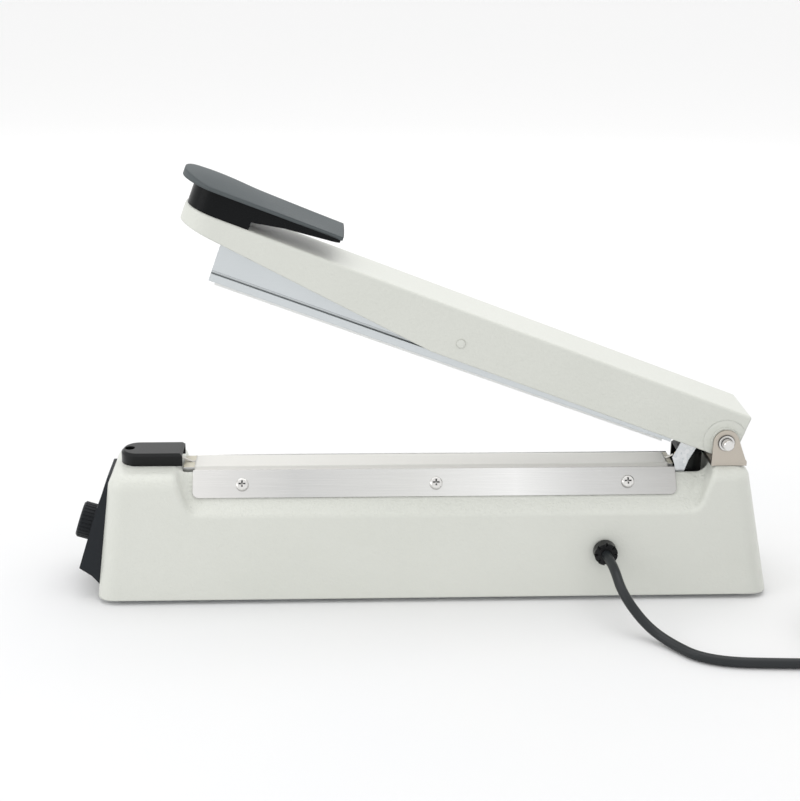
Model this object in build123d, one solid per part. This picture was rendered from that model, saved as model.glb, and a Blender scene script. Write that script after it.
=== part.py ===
from build123d import *
from math import atan, atan2, cos, degrees, hypot, pi, radians, sin, sqrt, tan
import os

os.makedirs("parts", exist_ok=True)

# Hand impulse sealer, millimetres. X runs along the machine with the operator
# end at -X and the hinge at +X, Y across it, Z up from the table.

# ---- base casting ----
base_front = -200.6        # bottom edge at the operator end
base_rear = 219.8          # bottom edge at the hinge end
base_width = 82.3          # across the bottom edge
foot_height = 3.0          # casting stands this far above the table
shoulder_top = 80.8        # flat top of the front shoulder
saddle_top = 83.9          # flat top under the hinge bracket
flank_draft = 6.3          # lean of the long sides, degrees
front_draft = 7.1          # lean of the operator end, degrees
rear_draft = 11.1          # lean of the hinge end, degrees
corner_radius = 11.0       # vertical corners
crest_radius = 9.0         # rolled edge round the top
wall = 2.2                 # casting thickness
split_x = 10.0             # middle of the sealing length
waist_front = -141.5       # where the slimmer middle begins, at the ledge
waist_rear = 172.0         # where it ends under the hinge
waist_end_draft = 20.0     # lean of its two end walls, degrees
waist_blend = 6.0          # hollow between the end walls and the ledge
waist_roll = 3.5           # rolled rim all round the slimmer middle
ledge_edge_z = 56.6        # soft edge where flank turns into ledge
ridge_top = 77.5           # top of the two ridges beside the deck
channel_width = 25.2       # trough that holds the deck
channel_floor = 70.0
channel_front = -147.0
well_front = 158.0         # wider pocket behind the deck
well_rear = 182.5
well_width = 29.0
post_radius = 5.5          # screw posts for the bottom plate
post_inset_x = 14.0
post_y = 27.0
post_top = 22.0

# ---- clearances ----
screw_play = 0.05          # radial, screws in their holes
pin_play = 0.05            # radial, pins in bearings
slide_gap = 0.30           # between faces that pass each other
seal_gap = 0.10            # closed jaw, silicone to cloth

# ---- side plates and their screws ----
plate_length = 301.0
plate_height = 18.1
plate_thickness = 1.0
plate_lean = 39.8          # lean from vertical, degrees
plate_top_y = 13.6         # outer top edge
plate_top_z = 78.8
plate_corner = 4.0
plate_screw_pitch = 120.0
plate_screw_drop = 9.7     # from the plate's top edge
plate_screw_radius = 2.0
plate_head_radius = 4.0
plate_head_height = 2.4
plate_screw_length = 8.0

# ---- sealing deck ----
deck_front = -146.7
deck_rear = 160.0
deck_width = 19.6
deck_top = 79.3
tape_thickness = 0.2
wire_thickness = 0.2
wire_width = 2.5
cloth_thickness = 0.2
cloth_front = -140.0
cloth_rear = 157.0
cloth_flap = 12.0          # length clamped under each side plate

# ---- end terminals and covers ----
cover_length = 38.5
cover_width = 23.1
cover_height = 7.9
cover_wall = 1.6
cover_hole_radius = 3.1
cover_edge = 1.6
rear_cover_front = 163.0
rear_cover_rear = 180.0
rear_cover_top = 88.0
terminal_length = 12.0
terminal_width = 10.0
terminal_height = 3.0
terminal_screw_radius = 1.5
terminal_head_radius = 2.6
terminal_head_height = 1.2

# ---- hinge ----
pin_x = 188.6
pin_z = 99.07
pin_radius = 3.3
pin_length = 65.0
bushing_radius = 5.0
ear_span = 52.2            # over the outside of the bracket ears
ear_thickness = 1.5
ear_radius = 8.0
bracket_front = 180.3
bracket_rear = 202.4
bracket_sheet = 1.4
bracket_screw_y = 15.5
bracket_screw_radius = 2.0
ring_radius = 4.8
ring_thickness = 0.8
spring_wire = 1.8
spring_radius = 11.4
spring_turns = 5.0
spring_pitch = 2.1
spring_leg = 25.0

# ---- arm, drawn lying level over the base ----
open_angle = 20.87         # arm raised, degrees above level
closed_angle = 0.35        # arm still this far above level when shut
arm_width = 44.0
arm_sheet = 1.2
arm_crest = 19.8           # top face above the hinge pin
arm_tail = 9.3             # behind the pin
arm_reach = 358.0          # nose ahead of the pin
arm_skirt = 10.7           # lower edge below the pin
taper_start = 192.0        # ahead of the pin, where the skirt starts to rise
nose_skirt = 9.6           # lower edge above the pin at the nose
nose_radius = 19.0
arm_edge_radius = 1.6
boss_radius = 8.8
boss_gap = 0.3
rim_radius = 13.5
rim_height = 0.5

# ---- pressing bar on the arm's middle pin ----
pivot_ahead = 177.0        # ahead of the hinge pin
pivot_up = 0.2
pivot_radius = 2.5
pivot_head_radius = 2.8
pivot_head_height = 0.5
bar_droop = 0.70           # raised arm, bar hangs nose-down by this, degrees
bar_front_reach = 153.5
bar_rear_reach = 149.3
bar_width = 20.0
bar_crest = 8.0            # above the pivot
bar_wall = 2.0
bar_web = 2.2
groove_depth = 1.8
groove_height = 2.2
flange_height = 4.6
silicone_thickness = 2.5
silicone_width = 12.0
silicone_inset = 4.0
spacer_radius = 4.5

# ---- handle ----
handle_front = 364.8       # pad tip ahead of the hinge pin
handle_rear = 265.0
neck_front = 357.0
neck_rear = 318.5
neck_width = 41.0
pad_width_front = 47.0
pad_width_rear = 40.0
lip_front = 34.3           # underside of the pad lip above the pin
lip_rear = 33.1
lip_height = 2.1
crown_front = 2.0
crown_high = 4.0
crown_mid = 1.8
crown_rear = 0.8
grip_rear_depth = 1.8      # body under the pad lip at its rear end
neck_knee = 299.0          # where the underside bends down toward the arm
neck_knee_rise = 8.3
neck_tail_rise = 4.8       # body underside above the arm where the neck ends
handle_screw_radius = 2.5
handle_screw_pitch = 22.0
handle_screw_mid = 338.0

# ---- switch tongue on the arm and switch under it ----
tongue_thickness = 1.2
tongue_y = -13.2           # outer face
switch_length = 20.0
switch_width = 6.4
switch_height = 10.2
switch_x = 173.0
switch_top = 64.4
button_radius = 1.4
button_top = 67.0
button_travel = 1.2

# ---- operator panel, knob and lamp ----
panel_foot_x = -211.6      # lowest forward edge of the wedge
panel_foot_z = 20.5
panel_step_x = -199.1
panel_step_z = 59.2
panel_step = 0.6           # upper face set back at the step line
panel_top_x = -192.9
panel_top_z = 76.0
panel_tail_x = -198.6
panel_tail_z = 9.0
panel_width_low = 62.0
panel_width_high = 50.0
panel_corner = 14.0
knob_z = 38.7
knob_radius = 11.6
knob_height = 8.6
knob_ribs = 30
knob_rib_radius = 0.55
shaft_radius = 3.0
pot_radius = 8.2
pot_depth = 9.0
pot_room = 3.2             # clear space round the control for its legs
lamp_radius = 2.5
lamp_z = 67.5
lamp_sink = 0.6

# ---- parts inside the base ----
plate_sheet = 1.5
foot_radius = 6.0
foot_screw_radius = 1.75
foot_head_radius = 3.4
foot_head_height = 1.6
core_x = -20.0
core_length = 57.0
core_depth = 30.0
core_height = 48.0
core_limb = 9.5
coil_gap = 0.3
board_x = -120.0
board_length = 70.0
board_width = 46.0
board_thickness = 1.6
board_z = 17.0
standoff_radius = 3.0

# ---- mains cord ----
cord_radius = 3.0
cord_x = 114.4
cord_z = 33.0
cord_lane_y = -131.0       # straight run on the table
relief_radius = 7.2
relief_neck = 6.0
relief_reach = 7.5
relief_notches = 8
relief_notch_width = 1.3
relief_notch_depth = 1.6
coil_radius = 34.0
coil_x = 275.0
coil_rows = 3
coil_layers = 2
plug_lead = 14.0           # from the coil's middle to the plug's boot
boot_length = 20.0
boot_radius_small = 4.2
boot_radius_big = 6.5
grip_length = 28.0
grip_width = 26.0
grip_height = 16.0
plug_z = grip_height / 2
plug_pin_radius = 2.4
plug_pin_length = 19.0
plug_pin_pitch = 19.0
plug_pin_round = 1.2
tie_width = 5.0
tie_wall = 1.0
tie_play = 0.2             # the straight band over the curved coil


# ---------------------------------------------------------------- helpers
def save(node, shape):
    """Write one node."""
    export_step(shape, "parts/" + node + ".step")


def box_between(x0, x1, y0, y1, z0, z1):
    centre = Pos((x0 + x1) / 2, (y0 + y1) / 2, (z0 + z1) / 2)
    return centre * Box(x1 - x0, y1 - y0, z1 - z0)


def rod_y(x, z, radius, y0, y1):
    return Pos(x, (y0 + y1) / 2, z) * Rot(90, 0, 0) * Cylinder(radius, y1 - y0)


def rod_z(x, y, radius, z0, z1):
    return Pos(x, y, (z0 + z1) / 2) * Cylinder(radius, z1 - z0)


def side_prism(points, y0, y1):
    """Outline in the X-Z plane pushed from y0 to y1."""
    outline = Plane.XZ * make_face(Polyline(*points, close=True))
    return Pos(0, y1, 0) * extrude(outline, y1 - y0)


def cross_prism(points, x0, x1):
    """Outline in the Y-Z plane pushed from x0 to x1."""
    outline = Plane.YZ * make_face(Polyline(*points, close=True))
    return Pos(x0, 0, 0) * extrude(outline, x1 - x0)


def group(solids):
    return Compound(children=list(solids))


# ---------------------------------------------------------------- casting
def end_section(height, inset):
    """Rounded plan section of the drafted casting at one height."""
    rise = height - foot_height
    front = base_front + inset + rise * tan(radians(front_draft))
    rear = base_rear - inset - rise * tan(radians(rear_draft))
    width = base_width - 2 * inset - 2 * rise * tan(radians(flank_draft))
    section = RectangleRounded(rear - front, width, corner_radius - inset)
    return Pos((front + rear) / 2, 0, height) * section


def casting_block(bottom, top, inset):
    block = loft([end_section(bottom, inset), end_section(top - inset, inset)])
    crest = block.faces().sort_by(Axis.Z)[-1].edges()
    return fillet(crest, crest_radius - inset)


lean = radians(plate_lean)
down_slope = Vector(0, sin(lean), -cos(lean))
out_slope = Vector(0, cos(lean), sin(lean))
plate_top = Vector(0, plate_top_y, plate_top_z)
plate_bottom = plate_top + down_slope * plate_height
plate_inner_top = plate_top - out_slope * plate_thickness
seat_origin = plate_inner_top - out_slope * cloth_thickness
seat_slide = (seat_origin.Z - ridge_top) / cos(lean)
seat_top = seat_origin + down_slope * seat_slide
seat_low = seat_origin + down_slope * (plate_height + 1.5)
ledge_edge_y = base_width / 2 - (ledge_edge_z - foot_height) * tan(radians(flank_draft))
ledge_fall = (seat_low.Z - ledge_edge_z) / (ledge_edge_y - seat_low.Y)
waist_reach = base_width / 2 + 10
waist_sky = saddle_top + 20


def waist_tool(inset):
    """Everything cut away above the slimmer middle of the casting."""
    shift = out_slope * inset
    drop = inset / cos(atan(ledge_fall))
    ridge_z = ridge_top - inset
    slide = (seat_top.Z - shift.Z - ridge_z) / cos(lean)
    top = seat_top - shift + down_slope * slide
    slope = tan(lean)
    # corner where the lowered seat meets the lowered ledge
    ledge_here = ledge_edge_z - drop + ledge_fall * (ledge_edge_y - top.Y)
    low_y = top.Y + (top.Z - ledge_here) / (1 / slope - ledge_fall)
    low_z = ledge_edge_z - drop + ledge_fall * (ledge_edge_y - low_y)
    far_z = ledge_edge_z - drop - ledge_fall * (waist_reach - ledge_edge_y)
    half = [(top.Y, top.Z), (low_y, low_z), (waist_reach, far_z), (waist_reach, waist_sky)]
    points = [(-y, z) for y, z in reversed(half)] + half
    end_run = tan(radians(waist_end_draft))
    end_inset = inset / cos(radians(waist_end_draft))
    rise = waist_sky - ledge_edge_z
    drop_low = ledge_edge_z - far_z + 1
    side = [
        (waist_front - end_inset + drop_low * end_run, far_z - 1),
        (waist_front - end_inset - rise * end_run, waist_sky),
        (waist_rear + end_inset + rise * end_run, waist_sky),
        (waist_rear + end_inset - drop_low * end_run, far_z - 1)]
    reach = rise + waist_reach
    tool = cross_prism(points, waist_front - reach, waist_rear + reach)
    tool = tool & side_prism(side, -waist_reach, waist_reach)
    ends = tool.faces().sort_by(Axis.X)
    hard = []
    for end in (ends[0], ends[-1]):
        hard += [e for e in end.edges() if e.center().Z < ridge_z + 1]
    return fillet(hard, waist_blend + inset)


def casting_solid(inset):
    bottom = foot_height if inset == 0 else foot_height - 1
    front = casting_block(bottom, shoulder_top, inset)
    rear = casting_block(bottom, saddle_top, inset)
    half = 300
    front = front & box_between(split_x - half, split_x, -half, half, -half, half)
    rear = rear & box_between(split_x, split_x + half, -half, half, -half, half)
    return (front + rear) - waist_tool(inset)


def rim_edges(shape):
    """Edges round the slimmer middle: end wall tops, flank corners, ledge edges."""
    found = []
    for edge in shape.edges():
        spot = edge @ 0.5
        run = (spot.Z - ledge_edge_z) * tan(radians(waist_end_draft))
        beside = min(abs(spot.X - waist_front + run), abs(spot.X - waist_rear - run)) < waist_roll
        outboard = abs(spot.Y) > seat_low.Y
        if beside and (spot.Z > ridge_top + 0.5 or (outboard and spot.Z > ledge_edge_z)):
            found.append(edge)
        elif abs(spot.Z - ledge_edge_z) < 1 and outboard:
            found.append(edge)
    return found


channel_half = channel_width / 2
well_half = well_width / 2
sharp = casting_solid(0)
outer = fillet(rim_edges(sharp), waist_roll)
cavity = casting_solid(wall)
trough_roof = saddle_top + 20
trough = box_between(channel_front, well_rear, -channel_half, channel_half, channel_floor, trough_roof)
well = box_between(well_front, well_rear, -well_half, well_half, channel_floor, trough_roof)
trough_shell = box_between(
    channel_front - wall, well_rear + wall, -channel_half - wall, channel_half + wall,
    channel_floor - wall, trough_roof)
well_shell = box_between(
    well_front - wall, well_rear + wall, -well_half - wall, well_half + wall,
    channel_floor - wall, trough_roof)
housing = outer - (cavity - trough_shell - well_shell) - trough - well

post_spots = []
for post_x in (base_front + post_inset_x, base_rear - post_inset_x):
    for side in (-1, 1):
        post_spots.append((post_x, side * post_y))
plate_top_face = foot_height + plate_sheet
for post_x, side_y in post_spots:
    housing = housing + (rod_z(post_x, side_y, post_radius, plate_top_face, post_top) & outer)
    housing = housing - rod_z(post_x, side_y, foot_screw_radius + screw_play, 0, post_top - 2)

# plate screws enter the sloping seats
plate_screw_x = [split_x - plate_screw_pitch, split_x, split_x + plate_screw_pitch]


def on_plate(side, x):
    """Frame on the outer face of a side plate, Z pointing outward."""
    spot = plate_top + down_slope * plate_screw_drop
    return Plane(
        origin=(x, side * spot.Y, spot.Z), x_dir=(1, 0, 0),
        z_dir=(0, side * out_slope.Y, out_slope.Z))


def screw_hole(side, x, radius):
    depth = plate_screw_length + 4
    return on_plate(side, x) * Pos(0, 0, -depth / 2 + 1) * Cylinder(radius, depth)


for side in (-1, 1):
    for x in plate_screw_x:
        housing = housing - screw_hole(side, x, plate_screw_radius + screw_play)

# slot through the pocket floor for the switch tongue
slot_y0 = tongue_y - slide_gap
slot_y1 = tongue_y + tongue_thickness + slide_gap
tongue_slot = box_between(
    well_front + 0.5, well_rear - 1, slot_y0, slot_y1, channel_floor - wall - 1, channel_floor + 1)
housing = housing - tongue_slot
# bracket screw holes
bracket_mid = (bracket_front + bracket_rear) / 2 + 1.5
for side in (-1, 1):
    housing = housing - rod_z(
        bracket_mid, side * bracket_screw_y, bracket_screw_radius + screw_play,
        saddle_top - 12, saddle_top + 1)
# cord exit and control opening
flank_y = base_width / 2 - (cord_z - foot_height) * tan(radians(flank_draft))
housing = housing - rod_y(cord_x, cord_z, relief_neck + screw_play, -flank_y - 5, -flank_y + 8)

# ---------------------------------------------------------------- operator panel
panel_lean = atan2(panel_step_x - panel_foot_x, panel_step_z - panel_foot_z)
knob_face_x = panel_foot_x + (knob_z - panel_foot_z) * tan(panel_lean)
knob_frame = Plane(
    origin=(knob_face_x, 0, knob_z), x_dir=(0, -1, 0),
    z_dir=(-cos(panel_lean), 0, sin(panel_lean)))
panel_points = [
    (panel_tail_x, panel_tail_z), (panel_foot_x + 7.6, panel_foot_z - 5.2),
    (panel_foot_x, panel_foot_z), (panel_step_x, panel_step_z),
    (panel_step_x + panel_step, panel_step_z), (panel_top_x, panel_top_z),
    (panel_top_x + 20, panel_top_z), (panel_top_x + 20, panel_tail_z)]
panel_wedge = side_prism(panel_points, -panel_width_low / 2, panel_width_low / 2)
panel_outline = Plane.YZ * make_face(Polyline(
    (-panel_width_low / 2, panel_tail_z), (panel_width_low / 2, panel_tail_z),
    (panel_width_high / 2, panel_top_z), (-panel_width_high / 2, panel_top_z), close=True))
panel_outline = fillet(panel_outline.vertices().group_by(Axis.Z)[-1], panel_corner)
panel_prism = Pos(panel_foot_x - 20, 0, 0) * extrude(panel_outline, 60)
panel_body = (panel_wedge & panel_prism) - casting_block(foot_height, shoulder_top, 0)
hub_radius = shaft_radius + slide_gap
hub_hole = knob_frame * Cylinder(hub_radius + 1.2, 60)
pot_hole = knob_frame * Pos(0, 0, -26 - 4) * Cylinder(pot_radius + pot_room, 52)
upper_foot_x = panel_step_x + panel_step
lamp_face_x = upper_foot_x + (panel_top_x - upper_foot_x) * (
    (lamp_z - panel_step_z) / (panel_top_z - panel_step_z))
lamp_hole = Pos(lamp_face_x + 10, 0, lamp_z) * Rot(0, 90, 0) * Cylinder(lamp_radius + screw_play, 30)
front_panel = panel_body - hub_hole - pot_hole - lamp_hole
housing = housing - pot_hole - lamp_hole
save("base_housing", housing)
save("front_panel", front_panel)

lamp_body = Pos(lamp_face_x + lamp_sink + 7.5, 0, lamp_z) * Rot(0, 90, 0) * Cylinder(lamp_radius, 15)
save("indicator_lamp", lamp_body)

knob = Cylinder(knob_radius, knob_height)
knob = chamfer(knob.faces().sort_by(Axis.Z)[-1].edges(), 1.2)
for step in range(knob_ribs):
    turn = 360 / knob_ribs * step
    knob = knob - Rot(0, 0, turn) * Pos(knob_radius + 0.1, 0, 0) * Cylinder(knob_rib_radius, knob_height + 1)
knob = knob - Pos(0, knob_radius * 0.55, knob_height / 2) * Box(1.2, knob_radius * 0.7, 0.8)
knob_lift = knob_height / 2 + slide_gap
save("timer_knob", knob_frame * Pos(0, 0, knob_lift) * knob - knob_frame * Cylinder(shaft_radius, 12))
shaft_top = 5.0
shaft_root = -6.0
shaft = Pos(0, 0, (shaft_top + shaft_root) / 2) * Cylinder(shaft_radius, shaft_top - shaft_root)
save("timer_shaft", knob_frame * shaft)
pot_face = -4.0
pot_body = Pos(0, 0, pot_face - pot_depth / 2) * Cylinder(pot_radius, pot_depth)
pot_collar = Pos(0, 0, pot_face + 1.2) * (
    Cylinder(hub_radius + 1.1, 2.4) - Cylinder(shaft_radius + pin_play, 2.4))
pot_bore = Pos(0, 0, pot_face) * Cylinder(shaft_radius + pin_play, 8)
pot_legs = []
for leg in (-1, 0, 1):
    pot_legs.append(Pos(leg * 5, -pot_radius, pot_face - pot_depth + 2) * Box(1.2, 4, 0.6))
potentiometer = (pot_body + pot_collar) - pot_bore
for leg in pot_legs:
    potentiometer = potentiometer + leg
save("potentiometer", knob_frame * potentiometer)

# ---------------------------------------------------------------- underside
under = loft([end_section(foot_height, wall + slide_gap), end_section(plate_top_face, wall + slide_gap)])
bottom_plate = under
feet = []
foot_screws = []
for post_x, side_y in post_spots:
    hole = rod_z(post_x, side_y, foot_screw_radius + screw_play, -1, plate_top_face + 1)
    bottom_plate = bottom_plate - hole
    foot = rod_z(post_x, side_y, foot_radius, 0, foot_height)
    foot = chamfer(foot.faces().sort_by(Axis.Z)[0].edges(), 0.6)
    recess = rod_z(post_x, side_y, foot_head_radius + 0.4, -1, foot_head_height + 0.4)
    feet.append(foot - recess - hole)
    head = rod_z(post_x, side_y, foot_head_radius, 0.4, foot_head_height + 0.4)
    shank = rod_z(post_x, side_y, foot_screw_radius, foot_head_height + 0.4, post_top - 6)
    foot_screws.append(head + shank)
save("rubber_feet", group(feet))
save("foot_screws", group(foot_screws))

# ---------------------------------------------------------------- sealing deck
deck_half = deck_width / 2
deck_bar = box_between(deck_front, deck_rear, -deck_half, deck_half, channel_floor, deck_top)
for side in (-1, 1):
    groove = box_between(deck_front - 1, deck_rear + 1, side * deck_half - 1.2, side * deck_half + 1.2,
                         channel_floor + 3, channel_floor + 5)
    deck_bar = deck_bar - groove
save("sealing_deck", deck_bar)
tape_top = deck_top + tape_thickness
wire_top = tape_top + wire_thickness
cloth_top = wire_top + cloth_thickness
save("insulation_tape", box_between(deck_front, deck_rear, -deck_half, deck_half, deck_top, tape_top))

front_terminal_x = deck_front - 18
rear_terminal_x = rear_cover_front + 7
front_terminal_top = shoulder_top + terminal_height
rear_terminal_z = channel_floor + 8.6
rear_terminal_top = rear_terminal_z + terminal_height
wire_lift_front = cloth_front - 2
wire_lift_rear = cloth_rear + 1
wire_line = [
    (front_terminal_x - 3, front_terminal_top), (front_terminal_x + 14, front_terminal_top),
    (wire_lift_front, tape_top), (wire_lift_rear, tape_top),
    (rear_terminal_x - 8, rear_terminal_top), (rear_terminal_x + 3, rear_terminal_top)]
wire_outline = wire_line + [(x, z + wire_thickness) for x, z in reversed(wire_line)]
element = side_prism(wire_outline, -wire_width / 2, wire_width / 2)
for tx, tz in ((front_terminal_x, front_terminal_top), (rear_terminal_x, rear_terminal_top)):
    eye = rod_z(tx, 0, terminal_head_radius, tz, tz + wire_thickness)
    element = element + eye - rod_z(tx, 0, terminal_screw_radius + screw_play, tz - 1, tz + 1)
save("heating_element", element)

flap_low = seat_origin + down_slope * cloth_flap
flap_out = flap_low + out_slope * cloth_thickness
inner_line = [
    (0, wire_top), (deck_half, wire_top), (deck_half, ridge_top + 0.5),
    (seat_top.Y, seat_top.Z), (flap_low.Y, flap_low.Z)]
outer_line = [
    (flap_out.Y, flap_out.Z), (plate_inner_top.Y, plate_inner_top.Z),
    (deck_half + cloth_thickness, ridge_top + 0.7),
    (deck_half + cloth_thickness, cloth_top), (0, cloth_top)]
right_half = cross_prism(inner_line + outer_line, cloth_front, cloth_rear)
left_half = cross_prism([(-y, z) for y, z in inner_line + outer_line], cloth_front, cloth_rear)
cloth = right_half + left_half
for side in (-1, 1):
    for x in plate_screw_x:
        cloth = cloth - screw_hole(side, x, plate_screw_radius + screw_play)
save("release_cloth", cloth)


def side_plate(side):
    spot = plate_top + down_slope * (plate_height / 2)
    face = Plane(
        origin=(split_x, side * spot.Y, spot.Z), x_dir=(1, 0, 0),
        z_dir=(0, side * out_slope.Y, out_slope.Z))
    sheet = face * Pos(0, 0, -plate_thickness / 2) * Box(plate_length, plate_height, plate_thickness)
    low_edges = sheet.edges().filter_by(lambda e: abs(e.length - plate_thickness) < 0.01)
    sheet = fillet(low_edges.group_by(Axis.Z)[0], plate_corner)
    for x in plate_screw_x:
        sheet = sheet - screw_hole(side, x, plate_screw_radius + screw_play)
    return sheet


save("side_plate_near", side_plate(-1))
save("side_plate_far", side_plate(1))


def pan_screw(shank_radius, length, head_radius, head_height):
    """Cross-recess pan screw standing on its seat, shank pointing down."""
    head = Pos(0, 0, head_height / 2) * Cylinder(head_radius, head_height)
    head = fillet(head.faces().sort_by(Axis.Z)[-1].edges(), head_height * 0.55)
    shank = Pos(0, 0, -length / 2) * Cylinder(shank_radius, length)
    arm_long = head_radius * 1.05
    slot = head_radius * 0.24
    recess = Box(arm_long, slot, head_height) + Box(slot, arm_long, head_height)
    return head + shank - Pos(0, 0, head_height) * recess


plate_screws = []
for side in (-1, 1):
    for x in plate_screw_x:
        screw = pan_screw(plate_screw_radius, plate_screw_length, plate_head_radius, plate_head_height)
        plate_screws.append(on_plate(side, x) * screw)
save("plate_screws", group(plate_screws))

# ---------------------------------------------------------------- terminals and covers


def terminal(x, bottom):
    block = box_between(
        x - terminal_length / 2, x + terminal_length / 2,
        -terminal_width / 2, terminal_width / 2, bottom, bottom + terminal_height)
    return block - rod_z(x, 0, terminal_screw_radius + screw_play, bottom - 1, bottom + terminal_height + 1)


def terminal_screw(x, top):
    length = terminal_height - 0.4
    return Pos(x, 0, top + wire_thickness) * pan_screw(
        terminal_screw_radius, length, terminal_head_radius, terminal_head_height)


save("front_terminal", terminal(front_terminal_x, shoulder_top))
rear_terminal_foot = box_between(
    rear_terminal_x - 4, rear_terminal_x + 4, -4, 4, channel_floor, rear_terminal_z)
save("rear_terminal", terminal(rear_terminal_x, rear_terminal_z))
save("rear_terminal_insulator", rear_terminal_foot)
save("terminal_screws", group([
    terminal_screw(front_terminal_x, front_terminal_top),
    terminal_screw(rear_terminal_x, rear_terminal_top)]))


def cover(x0, x1, bottom, top, nose_sign):
    """Moulded cap, rounded at one end and open at the other."""
    half = cover_width / 2
    body = box_between(x0, x1, -half, half, bottom, top)
    nose = x0 if nose_sign < 0 else x1
    corners = [e for e in body.edges().filter_by(Axis.Z) if abs(e.center().X - nose) < 0.01]
    body = fillet(corners, half - 0.6)
    body = chamfer(body.faces().sort_by(Axis.Z)[-1].edges(), cover_edge)
    inner_half = half - cover_wall
    ix0 = x0 + cover_wall if nose_sign < 0 else x0 - 1
    ix1 = x1 + 1 if nose_sign < 0 else x1 - cover_wall
    inner = box_between(ix0, ix1, -inner_half, inner_half, bottom - 1, top - cover_wall)
    inner_nose = ix0 if nose_sign < 0 else ix1
    inner_corners = [e for e in inner.edges().filter_by(Axis.Z) if abs(e.center().X - inner_nose) < 0.01]
    inner = fillet(inner_corners, inner_half - 0.6)
    return body - inner


front_cover_x1 = channel_front - 0.1
front_cover_x0 = front_cover_x1 - cover_length
front_cover = cover(front_cover_x0, front_cover_x1, shoulder_top, shoulder_top + cover_height, -1)
hole_x = front_cover_x0 + 5.2
front_cover = front_cover - rod_z(hole_x, 0, cover_hole_radius, shoulder_top + 2, shoulder_top + 20)
save("front_terminal_cover", front_cover)
rear_cover = cover(rear_cover_front, rear_cover_rear, channel_floor, rear_cover_top, 1)
save("rear_terminal_cover", rear_cover)

# ---------------------------------------------------------------- hinge bracket
ear_half = ear_span / 2
brace_top = saddle_top + bracket_sheet
bracket_floor_top = brace_top + bracket_sheet


def ear_shape(y0, y1):
    """Rounded ear: a disc round the pin joined to the bracket floor."""
    disc = rod_y(pin_x, pin_z, ear_radius, y0, y1)
    rise = pin_z - brace_top
    far = hypot(bracket_rear - pin_x, rise)
    swing = atan2(-rise, bracket_rear - pin_x) + atan2(sqrt(far * far - ear_radius * ear_radius), ear_radius)
    rear_touch = (pin_x + ear_radius * cos(swing), pin_z + ear_radius * sin(swing))
    reach = pin_x - bracket_front
    far_front = hypot(reach, rise)
    swing_front = atan2(-rise, -reach) - atan2(
        sqrt(far_front * far_front - ear_radius * ear_radius), ear_radius)
    front_touch = (pin_x + ear_radius * cos(swing_front), pin_z + ear_radius * sin(swing_front))
    web = side_prism(
        [(bracket_front, brace_top), (bracket_rear, brace_top), rear_touch, (pin_x, pin_z), front_touch],
        y0, y1)
    return disc + web


bracket = box_between(bracket_front, bracket_rear, -ear_half, ear_half, brace_top, bracket_floor_top)
bracket = bracket + ear_shape(-ear_half, -ear_half + ear_thickness)
bracket = bracket + ear_shape(ear_half - ear_thickness, ear_half)
bracket = bracket - rod_y(pin_x, pin_z, bushing_radius + pin_play, -ear_half - 1, ear_half + 1)
brace = box_between(bracket_front, bracket_rear, -ear_half, ear_half, saddle_top, brace_top)
bracket_screws = []
for side in (-1, 1):
    hole = rod_z(
        bracket_mid, side * bracket_screw_y, bracket_screw_radius + screw_play, saddle_top - 1, pin_z)
    bracket = bracket - (hole & box_between(150, 250, -60, 60, saddle_top - 2, bracket_floor_top + 1))
    brace = brace - hole
    bracket_screws.append(Pos(bracket_mid, side * bracket_screw_y, bracket_floor_top) * pan_screw(
        bracket_screw_radius, 10, 3.9, 2.2))
save("hinge_bracket", bracket)
save("bracket_brace", brace)
save("bracket_screws", group(bracket_screws))

pin = rod_y(pin_x, pin_z, pin_radius, -pin_length / 2, pin_length / 2)
pin = chamfer(pin.faces().sort_by(Axis.Y)[0].edges() + pin.faces().sort_by(Axis.Y)[-1].edges(), 0.5)
bushing_end = ear_half + 0.4
bushing = rod_y(pin_x, pin_z, bushing_radius, -bushing_end, bushing_end)
bushing = bushing - rod_y(pin_x, pin_z, pin_radius + screw_play, -ear_span, ear_span)
rings = []
for side in (-1, 1):
    near = min(side * bushing_end, side * (bushing_end + ring_thickness))
    ring = rod_y(pin_x, pin_z, ring_radius, near, near + ring_thickness)
    rings.append(ring - rod_y(pin_x, pin_z, pin_radius + screw_play, -ear_span, ear_span))
save("hinge_pin", pin)
save("hinge_bushing", bushing)
save("retaining_rings", group(rings))

# torsion spring wound round the bushing; its lower leg rests on the bracket
coil_height = spring_turns * spring_pitch
helix = Helix(spring_pitch, coil_height, spring_radius)
wire_face = Plane(origin=helix @ 0, z_dir=helix % 0) * Circle(spring_wire / 2)
spring_coil = sweep(wire_face, helix, is_frenet=True)
place_coil = Pos(pin_x, coil_height / 2, pin_z) * Rot(90, 0, 0) * Rot(0, 0, -90)
spring_coil = place_coil * spring_coil
save("return_spring_coil", spring_coil)


# ---------------------------------------------------------------- arm (drawn level)
def arm_x(ahead):
    return pin_x - ahead


def arm_z(up):
    return pin_z + up


def arm_side(inset, low, back, half):
    """Side outline of the arm, its skirt lowered and tail pushed back on request."""
    outline = [
        (arm_x(-arm_tail - back), arm_z(arm_crest - inset)),
        (arm_x(arm_reach - inset), arm_z(arm_crest - inset)),
        (arm_x(arm_reach - inset), arm_z(nose_skirt - low)),
        (arm_x(taper_start), arm_z(-arm_skirt - low)),
        (arm_x(-4.5), arm_z(-arm_skirt - low)),
        (arm_x(-arm_tail - back), arm_z(-3 - low))]
    return side_prism(outline, -half, half)


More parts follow.
